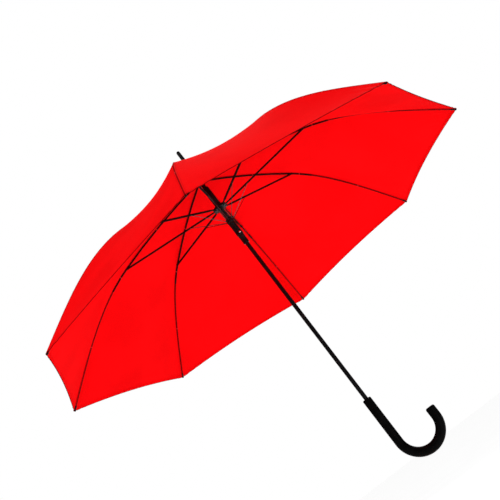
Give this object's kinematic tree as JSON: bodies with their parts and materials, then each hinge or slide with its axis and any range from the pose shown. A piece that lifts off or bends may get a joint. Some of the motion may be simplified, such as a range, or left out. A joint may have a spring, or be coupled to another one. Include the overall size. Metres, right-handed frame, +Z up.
{
  "type": "stick umbrella",
  "caption": "Full-length umbrella with an arched cloth canopy on jointed ribs, a sprung runner on a straight shaft and a crook handle.",
  "frame": {"origin": "on the shaft axis, in the middle of the straight hand grip", "axes": "+Z up the shaft towards the ferrule, +X towards the crook's free end, +Y to the button's side"},
  "size_m": [1.0586, 1.0586, 0.8564],
  "materials": {
    "red_cloth": "woven polyester, slightly translucent",
    "rib_steel": "black lacquered folded steel",
    "rib_rod": "black pultruded rod",
    "spring_steel": "blackened spring steel",
    "ring_wire": "bright wire",
    "black_plastic": "moulded black plastic",
    "shaft_lacquer": "gloss black lacquer",
    "handle_grip": "satin black, fine grained"
  },
  "bodies": {
    "stick": {"shaft_tube": "shaft_lacquer", "ferrule": "shaft_lacquer", "crown_cap": "black_plastic", "top_notch": "black_plastic", "notch_ring_wire": "ring_wire", "stop_sleeve": "black_plastic", "handle": "handle_grip"},
    "upper_slide": {"upper_runner": "black_plastic", "opening_spring": "spring_steel"},
    "lower_slide": {"lower_runner": "black_plastic"},
    "button": {"release_button": "black_plastic"},
    "rib_arm_1": {"rib_1": "rib_steel", "canopy_gore_1": "red_cloth"},
    "rib_end_1": {"rib_rod_1": "rib_rod", "tip_cap_1": "black_plastic"},
    "stretcher_arm_1": {"stretcher_1": "rib_steel"},
    "wire_arm_1": {"push_wire_1": "spring_steel"},
    "rib_arm_2": {"rib_2": "rib_steel", "canopy_gore_2": "red_cloth"},
    "rib_end_2": {"rib_rod_2": "rib_rod", "tip_cap_2": "black_plastic"},
    "stretcher_arm_2": {"stretcher_2": "rib_steel"},
    "wire_arm_2": {"push_wire_2": "spring_steel"},
    "rib_arm_3": {"rib_3": "rib_steel", "canopy_gore_3": "red_cloth", "closing_strap": "red_cloth"},
    "rib_end_3": {"rib_rod_3": "rib_rod", "tip_cap_3": "black_plastic"},
    "stretcher_arm_3": {"stretcher_3": "rib_steel"},
    "wire_arm_3": {"push_wire_3": "spring_steel"},
    "rib_arm_4": {"rib_4": "rib_steel", "canopy_gore_4": "red_cloth"},
    "rib_end_4": {"rib_rod_4": "rib_rod", "tip_cap_4": "black_plastic"},
    "stretcher_arm_4": {"stretcher_4": "rib_steel"},
    "wire_arm_4": {"push_wire_4": "spring_steel"},
    "rib_arm_5": {"rib_5": "rib_steel", "canopy_gore_5": "red_cloth"},
    "rib_end_5": {"rib_rod_5": "rib_rod", "tip_cap_5": "black_plastic"},
    "stretcher_arm_5": {"stretcher_5": "rib_steel"},
    "wire_arm_5": {"push_wire_5": "spring_steel"},
    "rib_arm_6": {"rib_6": "rib_steel", "canopy_gore_6": "red_cloth"},
    "rib_end_6": {"rib_rod_6": "rib_rod", "tip_cap_6": "black_plastic"},
    "stretcher_arm_6": {"stretcher_6": "rib_steel"},
    "wire_arm_6": {"push_wire_6": "spring_steel"},
    "rib_arm_7": {"rib_7": "rib_steel", "canopy_gore_7": "red_cloth"},
    "rib_end_7": {"rib_rod_7": "rib_rod", "tip_cap_7": "black_plastic"},
    "stretcher_arm_7": {"stretcher_7": "rib_steel"},
    "wire_arm_7": {"push_wire_7": "spring_steel"},
    "rib_arm_8": {"rib_8": "rib_steel", "canopy_gore_8": "red_cloth"},
    "rib_end_8": {"rib_rod_8": "rib_rod", "tip_cap_8": "black_plastic"},
    "stretcher_arm_8": {"stretcher_8": "rib_steel"},
    "wire_arm_8": {"push_wire_8": "spring_steel"}
  },
  "joints": [
    {"name": "runner_slide", "type": "slide", "parent": "stick", "child": "upper_slide", "axis": [0, 0, 1], "range_m": [-0.40505, 0], "stiffness_N_per_m": 40, "springref_m": 0.25, "deforming": ["canopy_gore_1", "canopy_gore_2", "canopy_gore_3", "canopy_gore_4", "canopy_gore_5", "canopy_gore_6", "canopy_gore_7", "canopy_gore_8", "closing_strap"]},
    {"name": "lower_runner_slide", "type": "slide", "parent": "upper_slide", "child": "lower_slide", "axis": [0, 0, 1], "range_m": [0, 0.02093], "deforming": ["opening_spring", "push_wire_1", "push_wire_2", "push_wire_3", "push_wire_4", "push_wire_5", "push_wire_6", "push_wire_7", "push_wire_8"]},
    {"name": "release_button_press", "type": "slide", "parent": "stick", "child": "button", "axis": [0, -1, 0], "range_m": [0, 0.0025], "stiffness_N_per_m": 300},
    {"name": "rib_1_hinge", "type": "hinge", "parent": "stick", "child": "rib_arm_1", "pos_m": [0.009, 0, 0.6537], "axis": [0, 1, 0], "range_deg": [0, 69.41]},
    {"name": "rib_1_flex", "type": "hinge", "parent": "rib_arm_1", "child": "rib_end_1", "pos_m": [0.3085, 0, 0.57637], "axis": [0, 1, 0], "range_deg": [-13.05, 0]},
    {"name": "stretcher_1_pivot", "type": "hinge", "parent": "rib_arm_1", "child": "stretcher_arm_1", "pos_m": [0.253, 0, 0.599], "axis": [0, 1, 0], "range_deg": [-147.66, 0]},
    {"name": "push_wire_1_pivot", "type": "hinge", "parent": "stretcher_arm_1", "child": "wire_arm_1", "pos_m": [0.08236, 0, 0.581], "axis": [0, 1, 0], "range_deg": [0, 31.16]},
    {"name": "rib_2_hinge", "type": "hinge", "parent": "stick", "child": "rib_arm_2", "pos_m": [0.00636, 0.00636, 0.6537], "axis": [-0.7071, 0.7071, 0], "range_deg": [0, 69.41]},
    {"name": "rib_2_flex", "type": "hinge", "parent": "rib_arm_2", "child": "rib_end_2", "pos_m": [0.21815, 0.21815, 0.57637], "axis": [-0.7071, 0.7071, 0], "range_deg": [-13.05, 0]},
    {"name": "stretcher_2_pivot", "type": "hinge", "parent": "rib_arm_2", "child": "stretcher_arm_2", "pos_m": [0.1789, 0.1789, 0.599], "axis": [-0.7071, 0.7071, 0], "range_deg": [-147.66, 0]},
    {"name": "push_wire_2_pivot", "type": "hinge", "parent": "stretcher_arm_2", "child": "wire_arm_2", "pos_m": [0.05824, 0.05824, 0.581], "axis": [-0.7071, 0.7071, 0], "range_deg": [0, 31.16]},
    {"name": "rib_3_hinge", "type": "hinge", "parent": "stick", "child": "rib_arm_3", "pos_m": [0, 0.009, 0.6537], "axis": [-1, 0, 0], "range_deg": [0, 69.41]},
    {"name": "rib_3_flex", "type": "hinge", "parent": "rib_arm_3", "child": "rib_end_3", "pos_m": [0, 0.3085, 0.57637], "axis": [-1, 0, 0], "range_deg": [-13.05, 0]},
    {"name": "stretcher_3_pivot", "type": "hinge", "parent": "rib_arm_3", "child": "stretcher_arm_3", "pos_m": [0, 0.253, 0.599], "axis": [-1, 0, 0], "range_deg": [-147.66, 0]},
    {"name": "push_wire_3_pivot", "type": "hinge", "parent": "stretcher_arm_3", "child": "wire_arm_3", "pos_m": [0, 0.08236, 0.581], "axis": [-1, 0, 0], "range_deg": [0, 31.16]},
    {"name": "rib_4_hinge", "type": "hinge", "parent": "stick", "child": "rib_arm_4", "pos_m": [-0.00636, 0.00636, 0.6537], "axis": [-0.7071, -0.7071, 0], "range_deg": [0, 69.41]},
    {"name": "rib_4_flex", "type": "hinge", "parent": "rib_arm_4", "child": "rib_end_4", "pos_m": [-0.21815, 0.21815, 0.57637], "axis": [-0.7071, -0.7071, 0], "range_deg": [-13.05, 0]},
    {"name": "stretcher_4_pivot", "type": "hinge", "parent": "rib_arm_4", "child": "stretcher_arm_4", "pos_m": [-0.1789, 0.1789, 0.599], "axis": [-0.7071, -0.7071, 0], "range_deg": [-147.66, 0]},
    {"name": "push_wire_4_pivot", "type": "hinge", "parent": "stretcher_arm_4", "child": "wire_arm_4", "pos_m": [-0.05824, 0.05824, 0.581], "axis": [-0.7071, -0.7071, 0], "range_deg": [0, 31.16]},
    {"name": "rib_5_hinge", "type": "hinge", "parent": "stick", "child": "rib_arm_5", "pos_m": [-0.009, 0, 0.6537], "axis": [0, -1, 0], "range_deg": [0, 69.41]},
    {"name": "rib_5_flex", "type": "hinge", "parent": "rib_arm_5", "child": "rib_end_5", "pos_m": [-0.3085, 0, 0.57637], "axis": [0, -1, 0], "range_deg": [-13.05, 0]},
    {"name": "stretcher_5_pivot", "type": "hinge", "parent": "rib_arm_5", "child": "stretcher_arm_5", "pos_m": [-0.253, 0, 0.599], "axis": [0, -1, 0], "range_deg": [-147.66, 0]},
    {"name": "push_wire_5_pivot", "type": "hinge", "parent": "stretcher_arm_5", "child": "wire_arm_5", "pos_m": [-0.08236, 0, 0.581], "axis": [0, -1, 0], "range_deg": [0, 31.16]},
    {"name": "rib_6_hinge", "type": "hinge", "parent": "stick", "child": "rib_arm_6", "pos_m": [-0.00636, -0.00636, 0.6537], "axis": [0.7071, -0.7071, 0], "range_deg": [0, 69.41]},
    {"name": "rib_6_flex", "type": "hinge", "parent": "rib_arm_6", "child": "rib_end_6", "pos_m": [-0.21815, -0.21815, 0.57637], "axis": [0.7071, -0.7071, 0], "range_deg": [-13.05, 0]},
    {"name": "stretcher_6_pivot", "type": "hinge", "parent": "rib_arm_6", "child": "stretcher_arm_6", "pos_m": [-0.1789, -0.1789, 0.599], "axis": [0.7071, -0.7071, 0], "range_deg": [-147.66, 0]},
    {"name": "push_wire_6_pivot", "type": "hinge", "parent": "stretcher_arm_6", "child": "wire_arm_6", "pos_m": [-0.05824, -0.05824, 0.581], "axis": [0.7071, -0.7071, 0], "range_deg": [0, 31.16]},
    {"name": "rib_7_hinge", "type": "hinge", "parent": "stick", "child": "rib_arm_7", "pos_m": [0, -0.009, 0.6537], "axis": [1, 0, 0], "range_deg": [0, 69.41]},
    {"name": "rib_7_flex", "type": "hinge", "parent": "rib_arm_7", "child": "rib_end_7", "pos_m": [0, -0.3085, 0.57637], "axis": [1, 0, 0], "range_deg": [-13.05, 0]},
    {"name": "stretcher_7_pivot", "type": "hinge", "parent": "rib_arm_7", "child": "stretcher_arm_7", "pos_m": [0, -0.253, 0.599], "axis": [1, 0, 0], "range_deg": [-147.66, 0]},
    {"name": "push_wire_7_pivot", "type": "hinge", "parent": "stretcher_arm_7", "child": "wire_arm_7", "pos_m": [0, -0.08236, 0.581], "axis": [1, 0, 0], "range_deg": [0, 31.16]},
    {"name": "rib_8_hinge", "type": "hinge", "parent": "stick", "child": "rib_arm_8", "pos_m": [0.00636, -0.00636, 0.6537], "axis": [0.7071, 0.7071, 0], "range_deg": [0, 69.41]},
    {"name": "rib_8_flex", "type": "hinge", "parent": "rib_arm_8", "child": "rib_end_8", "pos_m": [0.21815, -0.21815, 0.57637], "axis": [0.7071, 0.7071, 0], "range_deg": [-13.05, 0]},
    {"name": "stretcher_8_pivot", "type": "hinge", "parent": "rib_arm_8", "child": "stretcher_arm_8", "pos_m": [0.1789, -0.1789, 0.599], "axis": [0.7071, 0.7071, 0], "range_deg": [-147.66, 0]},
    {"name": "push_wire_8_pivot", "type": "hinge", "parent": "stretcher_arm_8", "child": "wire_arm_8", "pos_m": [0.05824, -0.05824, 0.581], "axis": [0.7071, 0.7071, 0], "range_deg": [0, 31.16]}
  ],
  "couplings": [
    {"joint": "lower_runner_slide", "follows": "runner_slide", "ratio": -0.051181},
    {"joint": "rib_1_hinge", "follows": "runner_slide", "rad_per_m": -2.9889},
    {"joint": "rib_1_flex", "follows": "runner_slide", "rad_per_m": 0.56016},
    {"joint": "stretcher_1_pivot", "follows": "runner_slide", "rad_per_m": 6.3604},
    {"joint": "push_wire_1_pivot", "follows": "runner_slide", "rad_per_m": -1.3403},
    {"joint": "rib_2_hinge", "follows": "runner_slide", "rad_per_m": -2.9889},
    {"joint": "rib_2_flex", "follows": "runner_slide", "rad_per_m": 0.56016},
    {"joint": "stretcher_2_pivot", "follows": "runner_slide", "rad_per_m": 6.3604},
    {"joint": "push_wire_2_pivot", "follows": "runner_slide", "rad_per_m": -1.3403},
    {"joint": "rib_3_hinge", "follows": "runner_slide", "rad_per_m": -2.9889},
    {"joint": "rib_3_flex", "follows": "runner_slide", "rad_per_m": 0.56016},
    {"joint": "stretcher_3_pivot", "follows": "runner_slide", "rad_per_m": 6.3604},
    {"joint": "push_wire_3_pivot", "follows": "runner_slide", "rad_per_m": -1.3403},
    {"joint": "rib_4_hinge", "follows": "runner_slide", "rad_per_m": -2.9889},
    {"joint": "rib_4_flex", "follows": "runner_slide", "rad_per_m": 0.56016},
    {"joint": "stretcher_4_pivot", "follows": "runner_slide", "rad_per_m": 6.3604},
    {"joint": "push_wire_4_pivot", "follows": "runner_slide", "rad_per_m": -1.3403},
    {"joint": "rib_5_hinge", "follows": "runner_slide", "rad_per_m": -2.9889},
    {"joint": "rib_5_flex", "follows": "runner_slide", "rad_per_m": 0.56016},
    {"joint": "stretcher_5_pivot", "follows": "runner_slide", "rad_per_m": 6.3604},
    {"joint": "push_wire_5_pivot", "follows": "runner_slide", "rad_per_m": -1.3403},
    {"joint": "rib_6_hinge", "follows": "runner_slide", "rad_per_m": -2.9889},
    {"joint": "rib_6_flex", "follows": "runner_slide", "rad_per_m": 0.56016},
    {"joint": "stretcher_6_pivot", "follows": "runner_slide", "rad_per_m": 6.3604},
    {"joint": "push_wire_6_pivot", "follows": "runner_slide", "rad_per_m": -1.3403},
    {"joint": "rib_7_hinge", "follows": "runner_slide", "rad_per_m": -2.9889},
    {"joint": "rib_7_flex", "follows": "runner_slide", "rad_per_m": 0.56016},
    {"joint": "stretcher_7_pivot", "follows": "runner_slide", "rad_per_m": 6.3604},
    {"joint": "push_wire_7_pivot", "follows": "runner_slide", "rad_per_m": -1.3403},
    {"joint": "rib_8_hinge", "follows": "runner_slide", "rad_per_m": -2.9889},
    {"joint": "rib_8_flex", "follows": "runner_slide", "rad_per_m": 0.56016},
    {"joint": "stretcher_8_pivot", "follows": "runner_slide", "rad_per_m": 6.3604},
    {"joint": "push_wire_8_pivot", "follows": "runner_slide", "rad_per_m": -1.3403}
  ]
}
